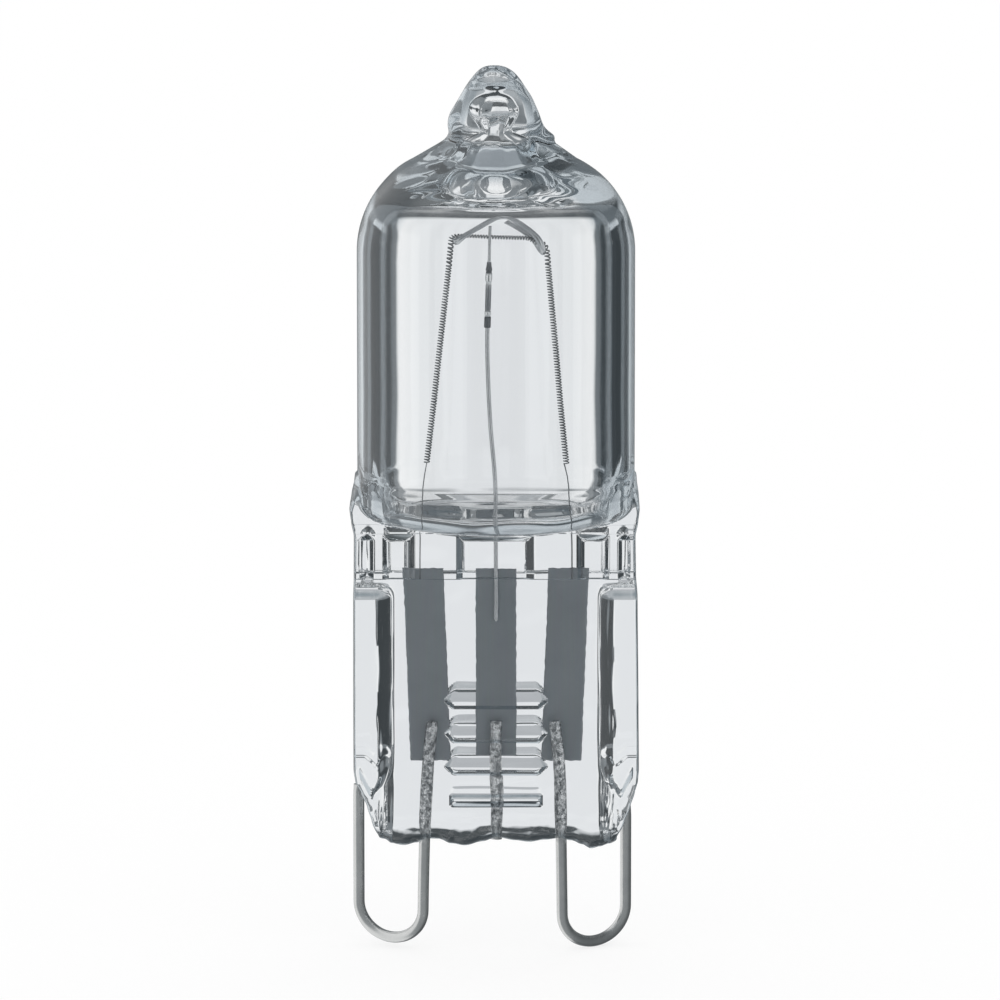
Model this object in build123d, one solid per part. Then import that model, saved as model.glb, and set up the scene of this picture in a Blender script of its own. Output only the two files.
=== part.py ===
"""Halogen capsule lamp with a looped-wire base, in millimetres.

A hollow quartz envelope is closed at the top by its sealed exhaust tip and at
the bottom by a flat press. Three molybdenum foils lie in the press. The outer
two join the looped contact wires to the filament, and the middle one anchors
the wire that holds the filament up. The lamp's axis is Z, the press lies
across X, and Z = 0 is the lowest point of the contact loops.
"""

from build123d import *
from math import asin, atan2, cos, degrees, radians, sin, sqrt, tan
import os

# Heights of the parts of the envelope, from the loops upwards
loop_drop = 5.35
press_height = 15.25
shoulder_height = 3.2
tube_length = 10.8
tip_height = 3.7

# Tube, dome and exhaust tip
bulb_diameter = 13.5
wall = 1.1
dome_radius = 5.0
dome_slope = 26.0
neck_radius = 2.3
tip_lean = 13.0

# Cavity
inner_dome_lean = 11.5
inner_dome_rise = 1.85
inner_dome_slope = 18.0
inner_dome_drop = 0.2
inner_crown_radius = 4.75
floor_thickness = 0.9
floor_corner = 1.9
floor_knee = 0.45
floor_rise = 0.25
funnel_radius = 1.8
funnel_height = 2.2
bubble_radius = 0.85
bubble_neck_radius = 0.5
bubble_rise = 1.1

# Shoulder, where the round tube was pinched into the press
shoulder_bend = 2.2
shoulder_root = 0.7
shoulder_fall = 0.5
shoulder_lap = 0.02
shoulder_flare = 0.2

# Press
press_width = 13.9
web_thickness = 3.0
rail_thickness = 4.1
rail_width = 1.3
rail_slope = 0.6
rail_edge = 0.3
rail_top_gap = 2.4
rail_top_slope = 0.5
corner_cut_width = 1.2
corner_cut_height = 3.0
corner_bulge = 0.12
lobe_depth = 0.38

# Crown of bosses between the press and the bulb
crown_height = 1.85
crown_step = 0.2
boss_height = 0.5
boss_inner = 1.7
boss_outer = 4.05
end_block_inner = 5.3

# Retaining ribs on both faces of the press
rib_length = 5.1
rib_width = 0.95
rib_height = 0.35
rib_taper = 35.0
rib_pitch = 1.65
rib_count = 3
first_rib_rise = 7.35
bar_length = 4.5
bar_width = 0.7
bar_height = 0.25
bar_rise = 2.1

# Shallow pockets in the lower end of each rail
pocket_rise = 3.0
pocket_inset = 0.75
pocket_radius = 1.3
pocket_depth = 0.3

# Foils
foil_thickness = 0.05
foil_width = 2.0
foil_length = 9.5
foil_top_gap = 1.5
side_foil_place = 3.55
side_foil_lean = 0.36

# Contact wires
contact_wire = 0.55
weld_flat = 0.03
weld_overlap = 1.95
inner_leg_place = 3.44
pins_off_centre = -0.13
loop_width = 3.96
loop_bend = 1.5
left_loop_lift = 0.2
inner_leg_lean = 0.46
left_free_end = 2.6
right_free_end = 1.5
free_end_clearance = 0.04
stub_protrusion = 0.1

# Support rod and its sleeve
rod_wire = 0.2
rod_weld = 2.6
rod_straight = 0.6
rod_kink = 0.25
rod_kink_rise = 1.2
rod_lean = 0.42
sleeve_diameter = 0.42
sleeve_waist = 0.32
sleeve_length = 3.1
sleeve_end = 0.5
sleeve_gap = 1.4

# Hook that carries the filament
hook_wire = 0.3
hook_rise = 1.1
hook_off_centre = 0.3
hook_clearance = 0.03
hook_turn = 0.55
hook_tip = 0.2
rod_hook_drop = 0.4

# Filament
coil_diameter = 0.34
coil_foot_spread = 3.38
coil_top_spread = 2.3
coil_foot_rise = 2.7
coil_length = 11.1
tail_wire = 0.12
tail_spread = 3.7
tail_straight = 0.5
tail_weld = 0.5

# Levels and faces that follow from these sizes
bulb_radius = bulb_diameter / 2
cavity_radius = bulb_radius - wall
press_low = loop_drop
press_top = press_low + press_height
tube_low = press_top + shoulder_height
tube_top = tube_low + tube_length
half_press = press_width / 2
half_web = web_thickness / 2
half_rail = rail_thickness / 2
rail_root = half_press - rail_width - rail_slope
rail_top = press_top - rail_top_gap
crown_low = press_top - crown_height
cavity_floor = press_top + floor_thickness
lobe_top = press_low + lobe_depth
foil_top = press_top - foil_top_gap
foil_low = foil_top - foil_length
weld_top = foil_low + weld_overlap
foil_face = -foil_thickness / 2
contact_radius = contact_wire / 2
contact_y = foil_face - contact_radius + weld_flat
rod_y = foil_face - rod_wire / 2 + weld_flat
tail_y = foil_face - tail_wire / 2 + weld_flat
free_leg_y = half_rail - pocket_depth + free_end_clearance + contact_radius
coil_foot = cavity_floor + coil_foot_rise
coil_top = coil_foot + coil_length
hook_apex = coil_top + hook_rise


def revolved(draw_half):
    """Solid of revolution about Z from a function that draws half its section."""
    with BuildSketch(Plane.XZ) as section:
        with BuildLine():
            draw_half()
        make_face()
    return revolve(section.sketch, Axis.Z)


def draw_bulb():
    """Half section of the solid tube, dome and exhaust tip."""
    turn = radians(90 - dome_slope)
    centre = bulb_radius - dome_radius
    arc_mid = (centre + dome_radius * cos(turn / 2), tube_top + dome_radius * sin(turn / 2))
    arc_end = (centre + dome_radius * cos(turn), tube_top + dome_radius * sin(turn))
    neck = arc_end[1] + (arc_end[0] - neck_radius) * tan(radians(dome_slope))
    lean = radians(tip_lean)
    peak = neck + tip_height
    ball = (neck_radius - tip_height * tan(lean)) / (1 / cos(lean) - tan(lean))
    side_top = (ball * cos(lean), peak - ball * (1 - sin(lean)))
    half_way = (lean + radians(90)) / 2
    ball_mid = (ball * cos(half_way), peak - ball * (1 - sin(half_way)))
    Polyline((0, tube_low), (bulb_radius, tube_low), (bulb_radius, tube_top))
    ThreePointArc((bulb_radius, tube_top), arc_mid, arc_end)
    Polyline(arc_end, (neck_radius, neck), side_top)
    ThreePointArc(side_top, ball_mid, (0, peak))
    Line((0, peak), (0, tube_low))


def draw_cavity():
    """Half section of the gas space, from its floor to the bubble in the tip."""
    dome_low = tube_top - inner_dome_drop
    lean_top = cavity_radius - inner_dome_rise * tan(radians(inner_dome_lean))
    crown_rise = dome_low + inner_dome_rise + (lean_top - inner_crown_radius)
    fall = (inner_crown_radius - funnel_radius) * tan(radians(inner_dome_slope))
    funnel_low = crown_rise + fall
    centre = funnel_low + funnel_height + bubble_rise
    neck_drop = sqrt(bubble_radius**2 - bubble_neck_radius**2)
    Polyline(
        (0, cavity_floor + floor_rise),
        (cavity_radius - floor_corner, cavity_floor),
        (cavity_radius - floor_knee, cavity_floor + floor_corner / 2),
        (cavity_radius, cavity_floor + floor_corner),
        (cavity_radius, dome_low),
        (lean_top, dome_low + inner_dome_rise),
        (inner_crown_radius, crown_rise),
        (funnel_radius, funnel_low),
        (bubble_neck_radius, funnel_low + funnel_height),
        (bubble_neck_radius, centre - neck_drop),
    )
    ThreePointArc(
        (bubble_neck_radius, centre - neck_drop),
        (bubble_radius, centre),
        (0, centre + bubble_radius),
    )
    Line((0, centre + bubble_radius), (0, cavity_floor + floor_rise))


def shoulder():
    """The tube's lower end, pinched from both sides down to the press."""
    root_rise = press_top + shoulder_lap
    side_rise = press_top + shoulder_fall
    low = press_top - shoulder_root
    side = [(half_rail, low), (half_rail, root_rise)]
    side += [(bulb_radius, side_rise), (bulb_radius, tube_low)]
    with BuildSketch(Plane.YZ) as profile:
        with BuildLine():
            Polyline(*side, *[(-y, z) for y, z in reversed(side)], close=True)
        make_face()
        fillet(profile.vertices().group_by(Axis.Y)[2], shoulder_bend)
        fillet(profile.vertices().group_by(Axis.Y)[1], shoulder_root)
    wedge = extrude(profile.sketch, amount=bulb_radius, both=True)
    column = Pos(0, 0, (low + tube_low) / 2) * Cylinder(bulb_radius, tube_low - low)
    return wedge & column


def press_outline():
    """Front view of the press: cut lower corners, a lobed lower edge, a flared top."""
    foot = half_press - corner_cut_width
    inner_left = pins_off_centre - inner_leg_place
    inner_right = pins_off_centre + inner_leg_place
    notches = [-foot, inner_left, 0, inner_right, foot]
    side_low = lobe_top + corner_cut_height
    flare = half_press + shoulder_flare
    flare_rise = press_top + shoulder_height / 2
    with BuildSketch(Plane.XZ) as outline:
        with BuildLine():
            for left, right in zip(notches, notches[1:]):
                lowest = ((left + right) / 2, press_low)
                ThreePointArc((left, lobe_top), lowest, (right, lobe_top))
            for side in (-1, 1):
                foot_end = (side * foot, lobe_top)
                cut_end = (side * half_press, side_low)
                bulge_x = side * ((foot + half_press) / 2 + corner_bulge)
                bulge = (bulge_x, (lobe_top + side_low) / 2)
                ThreePointArc(foot_end, bulge, cut_end)
                Line(cut_end, (side * half_press, press_top))
                Spline(
                    (side * half_press, press_top),
                    (side * flare, flare_rise),
                    (side * (bulb_radius - rail_edge), tube_low),
                )
            Line((-bulb_radius + rail_edge, tube_low), (bulb_radius - rail_edge, tube_low))
        make_face()
    return extrude(outline.sketch, amount=half_rail, both=True)


def rails():
    """The press below its crown: a web between two rails with sloped inner walls."""
    corner = [(rail_root, half_web), (rail_root + rail_slope, half_rail)]
    corner += [(half_press + shoulder_flare, half_rail)]
    right = corner + [(x, -y) for x, y in reversed(corner)]
    left = [(-x, -y) for x, y in right]
    with BuildSketch() as plan:
        with BuildLine():
            Polyline(*right, *left, close=True)
        make_face()
    blank = Pos(0, 0, press_low) * extrude(plan.sketch, rail_top - press_low)
    with BuildSketch(Plane.YZ) as top:
        with BuildLine():
            slope_low = rail_top - rail_top_slope
            side = [(half_rail, press_low), (half_rail, slope_low), (half_web, rail_top)]
            Polyline(*side, *[(-y, z) for y, z in reversed(side)], close=True)
        make_face()
    return blank & extrude(top.sketch, amount=press_width, both=True)


def crown():
    """Stepped band under the bulb, with two bosses and two end blocks on each face."""
    span = press_width + 2 * shoulder_flare
    middle = Pos(0, 0, (crown_low + press_top) / 2)
    height = press_top - crown_low
    neck = Pos(0, 0, (rail_top + crown_low) / 2)
    shape = neck * Box(span, web_thickness, crown_low - rail_top)
    shape += middle * Box(span, web_thickness + 2 * crown_step, height)
    boss = Box(boss_outer - boss_inner, web_thickness + 2 * boss_height, height)
    block_width = span / 2 - end_block_inner
    block = Box(block_width, rail_thickness, tube_low - crown_low)
    block_rise = (crown_low + tube_low) / 2
    for side in (-1, 1):
        shape += middle * Pos(side * (boss_inner + boss_outer) / 2, 0, 0) * boss
        shape += Pos(side * (end_block_inner + block_width / 2), 0, block_rise) * block
    return shape


def on_face(side, rise):
    """Plane on the web's front (-1) or back (1) face, X to the right, at a height."""
    origin = (0, side * half_web, rise)
    return Plane(origin=origin, x_dir=(-side, 0, 0), z_dir=(0, side, 0))


def ribs():
    """Raised ribs that the holder's spring grips: three pointed and one square."""
    with BuildSketch() as pointed:
        with BuildLine():
            tip = rib_width / 2
            end = rib_length / 2
            half = [(-end, 0), (-end + tip, -tip), (end - tip, -tip), (end, 0)]
            Polyline(*half, (end - tip, tip), (-end + tip, tip), close=True)
        make_face()
    shapes = []
    for side in (-1, 1):
        for number in range(rib_count):
            rise = press_low + first_rib_rise - number * rib_pitch
            place = on_face(side, rise).location
            shapes.append(place * extrude(pointed.sketch, rib_height, taper=rib_taper))
        place = on_face(side, press_low + bar_rise).location
        flat = Rectangle(bar_length, bar_width)
        shapes.append(place * extrude(flat, bar_height, taper=rib_taper / 2))
    return shapes


def rail_pockets():
    """Arched recesses in both faces of the rails' lower ends, for the wires' free ends."""
    shapes = []
    arch = Rot(90, 0, 0) * Cylinder(pocket_radius, pocket_depth)
    arch += Pos(0, 0, -pocket_rise / 2) * Box(2 * pocket_radius, pocket_depth, pocket_rise)
    for side_x in (-1, 1):
        for side_y in (-1, 1):
            centre_x = side_x * (half_press - pocket_inset)
            centre_y = side_y * (half_rail - pocket_depth / 2)
            shapes.append(Pos(centre_x, centre_y, press_low + pocket_rise) * arch)
    return shapes


def envelope(embedded):
    """The one piece of quartz, fitted closely round the metal sealed into it."""
    press = (rails() + crown()) & press_outline()
    glass = revolved(draw_bulb) + shoulder() + press
    glass -= revolved(draw_cavity)
    for rib in ribs():
        glass += rib
    for pocket in rail_pockets():
        glass -= pocket
    for metal in embedded:
        glass -= metal
    return glass


def wire(points, diameter):
    """Thin round wire along straight runs, bent sharply where they meet."""
    route = Polyline(*points)
    start = Plane(origin=route @ 0, z_dir=route % 0)
    section = start * Circle(diameter / 2)
    return sweep(section, path=route, transition=Transition.RIGHT)


def foil(place, lean):
    """Molybdenum foil in the press, leaning towards the axis at its lower end."""
    middle = Pos(place - lean / 2, 0, (foil_top + foil_low) / 2)
    angle = degrees(atan2(lean, foil_length))
    return middle * Rot(0, angle, 0) * Box(foil_width, foil_thickness, foil_length)


def contact_pin(side, foil_piece):
    """Looped contact wire: welded to its foil, out of the press, round and back up."""
    leg_x = pins_off_centre + side * inner_leg_place
    low = contact_radius + (left_loop_lift if side < 0 else 0)
    free_end = press_low + (left_free_end if side < 0 else right_free_end)
    twist = asin((free_leg_y - contact_y) / loop_width)
    out = Vector(side * cos(twist), sin(twist), 0) * loop_bend
    up = Vector(0, 0, loop_bend)
    slant = cos(radians(45))
    weld_end = Vector(leg_x - side * inner_leg_lean, contact_y, weld_top)
    inner = Vector(leg_x, contact_y, low) + up
    outer = inner + out * (loop_width / loop_bend)
    with BuildLine() as route:
        Line(weld_end, inner)
        ThreePointArc(inner, inner + out - (out + up) * slant, inner + out - up)
        Line(inner + out - up, outer - out - up)
        ThreePointArc(outer - out - up, outer - out + (out - up) * slant, outer)
        Line(outer, (outer.X, outer.Y, free_end))
    start = Plane(origin=route.line @ 0, z_dir=route.line % 0)
    return sweep(start * Circle(contact_radius), path=route.line) - foil_piece


def centre_stub(foil_piece):
    """Short wire from the middle foil to the press's lower edge, cut off there."""
    low = lobe_top - stub_protrusion
    stub = Pos(0, contact_y, low) * extrude(Circle(contact_radius), weld_top - low)
    return stub - foil_piece


def hook():
    """Bent wire over the filament, turned under it at both of its upper corners."""
    side = (coil_diameter + hook_wire) / 2 + hook_clearance
    low = coil_top - side
    reach = coil_top_spread - hook_turn
    return wire(
        [
            (-reach - hook_tip, 0, low),
            (-reach, -side, low),
            (hook_off_centre, -side, hook_apex),
            (reach, -side, low),
            (reach, side, low),
            (reach / 2, side, coil_top + hook_rise / 2),
        ],
        hook_wire,
    )


def rod_points():
    """Route of the support rod, from its weld up to the left arm of the hook."""
    front = -(coil_diameter + hook_wire) / 2 - hook_clearance
    return [
        (0, rod_y, foil_top - rod_weld),
        (0, rod_y, cavity_floor + rod_straight),
        (-rod_kink, front / 3, coil_foot + rod_kink_rise),
        (-rod_lean, front / 2, coil_top - sleeve_gap - sleeve_length),
        (-rod_kink, front, hook_apex - rod_hook_drop),
    ]


def sleeve(rod):
    """Tube squeezed on to the rod near its top, full width only at its two ends."""
    low, high = [Vector(*point) for point in rod_points()[3:]]
    up = (high - low).normalized()
    foot = low + up * sleeve_end
    waist = Plane(origin=foot, z_dir=up) * Circle(sleeve_waist / 2)
    shape = extrude(waist, sleeve_length)
    for rise in (0, sleeve_length - sleeve_end):
        end = Plane(origin=foot + up * rise, z_dir=up) * Circle(sleeve_diameter / 2)
        shape += extrude(end, sleeve_end)
    return shape - rod


def filament(foil_left, foil_right):
    """Coiled filament as a smooth rod, with a straight tail at each end."""
    foot_left = (-coil_foot_spread, tail_y, coil_foot)
    foot_right = (coil_foot_spread, tail_y, coil_foot)
    top_left = (-coil_top_spread, 0, coil_top)
    top_right = (coil_top_spread, 0, coil_top)
    shape = wire([foot_left, top_left, top_right, foot_right], coil_diameter)
    for side in (-1, 1):
        foot = (side * coil_foot_spread, tail_y, coil_foot + coil_diameter)
        bend = (side * tail_spread, tail_y, cavity_floor + tail_straight)
        end = (side * tail_spread, tail_y, foil_top - tail_weld)
        shape += wire([foot, bend, end], tail_wire)
    return shape - foil_left - foil_right


def build():
    """Every piece of the lamp by its name."""
    foil_left = foil(-side_foil_place, -side_foil_lean)
    foil_centre = foil(0, 0)
    foil_right = foil(side_foil_place, side_foil_lean)
    hook_piece = hook()
    rod = wire(rod_points(), rod_wire) - hook_piece - foil_centre
    pieces = {
        "foil_left": foil_left,
        "foil_centre": foil_centre,
        "foil_right": foil_right,
        "contact_pin_left": contact_pin(-1, foil_left),
        "contact_pin_right": contact_pin(1, foil_right),
        "centre_stub": centre_stub(foil_centre),
        "support_rod": rod,
        "filament": filament(foil_left, foil_right),
    }
    pieces["quartz_envelope"] = envelope(list(pieces.values()))
    pieces["support_sleeve"] = sleeve(rod)
    pieces["hook_wire"] = hook_piece
    return pieces


if __name__ == "__main__":
    os.makedirs("parts", exist_ok=True)
    for name, shape in build().items():
        export_step(shape, f"parts/{name}.step")
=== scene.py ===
"""Looks of a clear halogen capsule lamp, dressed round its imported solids."""

from math import atan2, ceil, cos, hypot, pi, radians, sin, sqrt, tan

import bmesh
import bpy
from mathutils import Matrix, Vector, noise


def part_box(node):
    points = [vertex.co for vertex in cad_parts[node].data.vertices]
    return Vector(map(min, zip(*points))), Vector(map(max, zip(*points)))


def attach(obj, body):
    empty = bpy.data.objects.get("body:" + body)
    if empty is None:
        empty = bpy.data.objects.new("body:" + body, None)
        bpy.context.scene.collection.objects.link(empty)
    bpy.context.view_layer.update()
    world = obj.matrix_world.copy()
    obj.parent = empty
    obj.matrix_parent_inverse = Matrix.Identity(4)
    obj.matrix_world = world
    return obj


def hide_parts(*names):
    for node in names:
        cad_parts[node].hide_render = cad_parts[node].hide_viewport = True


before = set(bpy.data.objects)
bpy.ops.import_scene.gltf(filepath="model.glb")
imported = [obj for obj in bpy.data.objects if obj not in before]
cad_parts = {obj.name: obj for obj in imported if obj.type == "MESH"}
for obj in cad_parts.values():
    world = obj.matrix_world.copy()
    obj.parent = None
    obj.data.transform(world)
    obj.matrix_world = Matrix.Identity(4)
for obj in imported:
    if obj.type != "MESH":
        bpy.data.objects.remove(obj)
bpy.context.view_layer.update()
MM = 0.001


# The glass body is one piece of quartz tube. Its lower end was squeezed flat while soft
# to make the press, and the thin exhaust tube on its top was melted shut. It carries
# every other piece, so it comes first: its outer skin and its gas space are both closed.

# Sizes are in mm. Heights count from the bottom of the left loop, a datum above the right one.
datum = 0.2
glass_low, glass_high = [[c / MM for c in corner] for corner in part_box("quartz_envelope")]
press_low = glass_low[2] - datum
tube_radius = glass_high[1]
wall = 1.1
cavity_radius = tube_radius - wall
half_press = 6.95
press_corner = 0.3
half_web = 1.5
half_rail = 2.05
rail_root = 5.06
rail_lip = 5.76
rail_top = press_low + 12.85
crown_low = press_low + 13.4
press_top = press_low + 15.72
tube_low = press_low + 18.45
tube_top = tube_low + 10.8
side_grip = sqrt(tube_radius**2 - half_rail**2)


def ramp(start, end, value):
    """Smooth step from 0 at start to 1 at end."""
    t = min(1.0, max(0.0, (value - start) / (end - start)))
    return t * t * (3 - 2 * t)


def slope(start, end, value, soft=0.05):
    """Straight rise from 0 at start to 1 at end, its two ends slightly rounded."""
    t = (value - start) / (end - start)
    edge = soft / (end - start)
    if t < -edge or t > 1 + edge:
        return float(t > 0.5)
    if t < edge:
        return (t + edge) ** 2 / (4 * edge)
    if t > 1 - edge:
        return 1 - (1 + edge - t) ** 2 / (4 * edge)
    return t


def mix(a, b, share):
    """Value at a share of the way from a to b."""
    return a + (b - a) * share


def uneven(x, y, z, size, amount):
    """Slow, smooth unevenness of hot-worked glass."""
    return amount * noise.noise(Vector((x, y, z)) / size)


def spread(*stops):
    """Levels from the first stop on, each stretch divided into steps of about its size."""
    levels = [stops[0][0]]
    for (low, _), (high, step) in zip(stops, stops[1:]):
        count = max(1, ceil(abs(high - low) / step))
        levels += [low + (high - low) * (i + 1) / count for i in range(count)]
    return levels


def skin(name, around, along, place):
    """Closed tube of quads: column i and row j of a grid go where place(i, j) says, in mm."""
    mesh = bmesh.new()
    bmesh.ops.create_grid(mesh, x_segments=around, y_segments=along, size=0.5)
    for vert in mesh.verts:
        i = round((vert.co.x + 0.5) * around)
        j = round((vert.co.y + 0.5) * along)
        vert.co = (Vector(place(i % around, j)) + Vector((0, 0, datum))) * MM
    bmesh.ops.remove_doubles(mesh, verts=mesh.verts, dist=1e-8)
    bmesh.ops.dissolve_degenerate(mesh, edges=mesh.edges, dist=1e-8)
    bmesh.ops.recalc_face_normals(mesh, faces=mesh.faces)
    for face in mesh.faces:
        face.smooth = True
    for edge in mesh.edges:
        edge.smooth = edge.calc_face_angle(pi) < radians(32)
    return mesh


def finish_piece(name, meshes):
    """Joins meshes into one object that rides on the lamp's only body."""
    whole = bmesh.new()
    for mesh in meshes:
        data = bpy.data.meshes.new(name)
        mesh.to_mesh(data)
        mesh.free()
        whole.from_mesh(data)
        bpy.data.meshes.remove(data)
    data = bpy.data.meshes.new(name)
    whole.to_mesh(data)
    whole.free()
    piece = bpy.data.objects.new(name, data)
    bpy.context.scene.collection.objects.link(piece)
    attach(piece, "root")
    return piece


# Places across the press, and how far its melted lower edge lies above press_low there.
lobes = [
    (-6.4, 0.5), (-5.7, 0.28), (-5.2, 0.06), (-4.5, -0.06), (-3.9, 0.08), (-3.4, 0.3), (-2.8, 0.28),
    (-2.2, 0.04), (-1.5, -0.06), (-0.7, 0.14), (0.1, 0.36), (0.9, 0.2), (1.66, 0.12), (2.4, 0.24),
    (3.1, 0.32), (3.7, 0.2), (4.2, 0.0), (4.65, -0.22), (5.1, -0.12), (5.8, 0.04), (6.4, 0.3),
]


def lower_edge(x):
    """Height of the press's lower edge: soft lobes between the wires that leave it."""
    for (left, low), (right, high) in zip(lobes, lobes[1:]):
        if x <= right:
            return press_low + mix(low, high, ramp(left, right, x))
    return press_low + lobes[-1][1]


# Heights, with the half width on the left and on the right: a taper, the press and its flare.
side_profile = [
    (press_low, 5.5, 5.66), (5.6, 5.75, 5.93), (6.4, 6.08, 6.28), (7.2, 6.32, 6.58),
    (7.9, 6.62, 6.8), (8.45, 6.9, 6.95), (9.0, 6.97, 6.99), (12, 6.97, 6.96),
    (17.6, 6.96, 6.9), (18.6, 6.93, 6.82), (20.6, 6.92, 6.79), (21.3, 7.05, 6.92),
    (21.9, 7.13, 6.99), (22.5, 7.04, 6.95), (23.2, 6.9, 6.86), (24.2, 6.78, 6.77),
    (25.5, 6.75, 6.75),
]


def half_width(z, side):
    """Half width of the press and shoulder at a height, on the left (-1) or right (1)."""
    column = 1 if side < 0 else 2
    if z <= side_profile[0][0]:
        return side_profile[0][column]
    for low, high in zip(side_profile, side_profile[1:]):
        if z <= high[0]:
            straight = (z - low[0]) / (high[0] - low[0])
            share = (ramp(low[0], high[0], z) + straight) / 2
            return mix(low[column], high[column], share)
    return tube_radius


rib_rises = (7.38, 5.73, 4.14)
rib_reach = 2.55
rib_relief = 0.34
bar_rise = 2.32
bar_reach = 2.25
bar_relief = 0.36
bar_relief_behind = 0.08


def rib_height(x, z, back):
    """Height of the retaining ribs: three with pointed ends and one bar, fainter on the back."""
    height = 0.0
    for rise in rib_rises:
        up = z - press_low - rise
        point = (rib_reach - abs(x) - abs(up)) / 0.3
        height = max(height, rib_relief * min((0.6 - up) / 0.66, (up + 0.44) / 0.22, point, 1.0))
    up = z - press_low - bar_rise
    end = (bar_reach - abs(x)) / 0.2
    relief = bar_relief_behind if back else bar_relief
    return max(height, relief * min((0.42 - up) / 0.16, (up + 0.24) / 0.42, end, 1.0))


pad_notch = (5.84, 4.2)
pad_point = (6.12, 2.45)
pad_top = 4.68
pad_step = 0.1
pad_depth = 0.34


def corner_cut(side, up, back):
    """Depth cut away round and under the heart-shaped pad that the jaws left low on each rail."""
    rise = 0.9 if side > pad_notch[0] else 1.4
    top = min(pad_notch[1] + rise * abs(side - pad_notch[0]), pad_top)
    steep = 1.9 if side > pad_point[0] else 1.3
    above_point = (up - pad_point[1] - steep * abs(side - pad_point[0])) / hypot(1, steep)
    lower = 0.0 if back else pad_depth * (1 - slope(0.0, 0.36, above_point))
    return pad_step * (1 - slope(-0.05, 0.07, up - top)) + lower


# The crown over the foils has two bosses between its pockets, each given by where it starts
# and ends its rise and its fall, a block at each end, and an upright groove in each block.
bosses = ((-4.34, -3.92, -1.92, -1.62), (1.46, 1.88, 3.9, 4.26))
block_side = 5.2
groove_side = 6.25
groove_half_length = 0.85
groove_depth = 0.32


def half_thickness(x, z, back=False):
    """Half thickness of the press at a place: web, rails, crown, ribs and recesses."""
    side = abs(x)
    below_crown = 1 - ramp(rail_top - 0.45, rail_top + 0.05, z)
    rail = slope(rail_root, rail_lip, side) * below_crown
    thick = half_web + (half_rail - half_web) * rail
    thick -= corner_cut(side, z - press_low, back) * rail
    crown = ramp(crown_low - 0.05, crown_low + 0.06, z)
    boss = max(slope(a, b, x) * (1 - slope(c, d, x)) for a, b, c, d in bosses)
    block = slope(block_side, block_side + 0.3, side)
    head = slope(press_top - 0.48, press_top - 0.04, z)
    thick += crown * (0.2 + max(0.4 * boss, 0.35 * block, 0.38 * head))
    along_groove = abs(z - press_top + 1.3) - groove_half_length
    from_groove = hypot(side - groove_side, max(0.0, along_groove))
    thick -= groove_depth * (1 - slope(0.04, 0.36, from_groove))
    inner_rail = rail * (1 - slope(rail_lip, rail_lip + 0.3, side))
    thick += inner_rail * uneven(4 * side, x, z / 3, 0.7, 0.07)
    return thick + rib_height(x, z, back)


def rim_radius(z):
    """Radius of the tube's rounded lower rim at a height above the press."""
    t = min(1.0, max(0.0, (z - press_top - 0.15) / 1.6))
    return mix(3.6, tube_radius, (1 - (1 - t) ** 2.4) ** 0.5)


# The skin's grid is finest where the press has edges. The columns within fixed_reach of the
# middle go straight up, and those beyond it follow the press's outline.
half_columns = spread(
    (0, 0), (1.62, 0.16), (1.82, 0.05), (2.05, 0.12), (2.6, 0.09), (3.9, 0.17), (4.15, 0.06),
    (5.05, 0.16), (6.55, 0.08), (half_press - press_corner, 0.1),
)
fixed_reach = 4.9
face_columns = [-x for x in reversed(half_columns[1:])] + half_columns
side_columns = 20
columns = 2 * (len(face_columns) + side_columns)
press_levels = spread(
    (press_low + 1.0, 0), (press_low + 1.9, 0.14), (press_low + 2.9, 0.06),
    (press_low + 3.5, 0.08), (press_low + 7.9, 0.08), (rail_top - 0.5, 0.24),
    (rail_top + 0.1, 0.06), (crown_low - 0.1, 0.12), (crown_low + 0.1, 0.04),
    (press_top - 0.5, 0.12), (press_top, 0.045), (press_top + 0.6, 0.05), (press_top + 1.5, 0.07),
    (tube_low, 0.12), (tube_top, 1.1),
)
edge_steps = 12
dome_radius = 5.0
dome_turn = 64
dome_steps = 26
tip_steps = 44
# Radii and heights of the exhaust tube's sealed end.
tip_profile = [
    (2.75, 39.62), (2.42, 39.86), (2.22, 40.15), (2.15, 40.55), (2.08, 41.05), (1.95, 41.5),
    (1.78, 41.95), (1.5, 42.45), (1.2, 42.85), (0.88, 43.15), (0.48, 43.35), (0, 43.42),
]


def catmull(points, share):
    """Point at a share of a smooth curve that passes through every given point."""
    spot = share * (len(points) - 1)
    k = min(int(spot), len(points) - 2)
    t = spot - k
    before = Vector(points[max(0, k - 1)])
    a, b = Vector(points[k]), Vector(points[k + 1])
    after = Vector(points[min(len(points) - 1, k + 2)])
    pull_a, pull_b = (b - before) / 2, (after - a) / 2
    square, cube = t * t, t * t * t
    ease = 3 * square - 2 * cube
    return a * (1 - ease) + b * ease + pull_a * (cube - 2 * square + t) + pull_b * (cube - square)


dome_profile = []
for step in range(1, dome_steps + 1):
    turn = radians(dome_turn * step / dome_steps)
    radius = tube_radius - dome_radius + dome_radius * cos(turn)
    dome_profile.append((radius, tube_top + dome_radius * sin(turn)))
for step in range(tip_steps + 1):
    dome_profile.append(tuple(catmull(tip_profile, step / tip_steps)))
rows = edge_steps + len(press_levels) - 1 + len(dome_profile)


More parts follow.
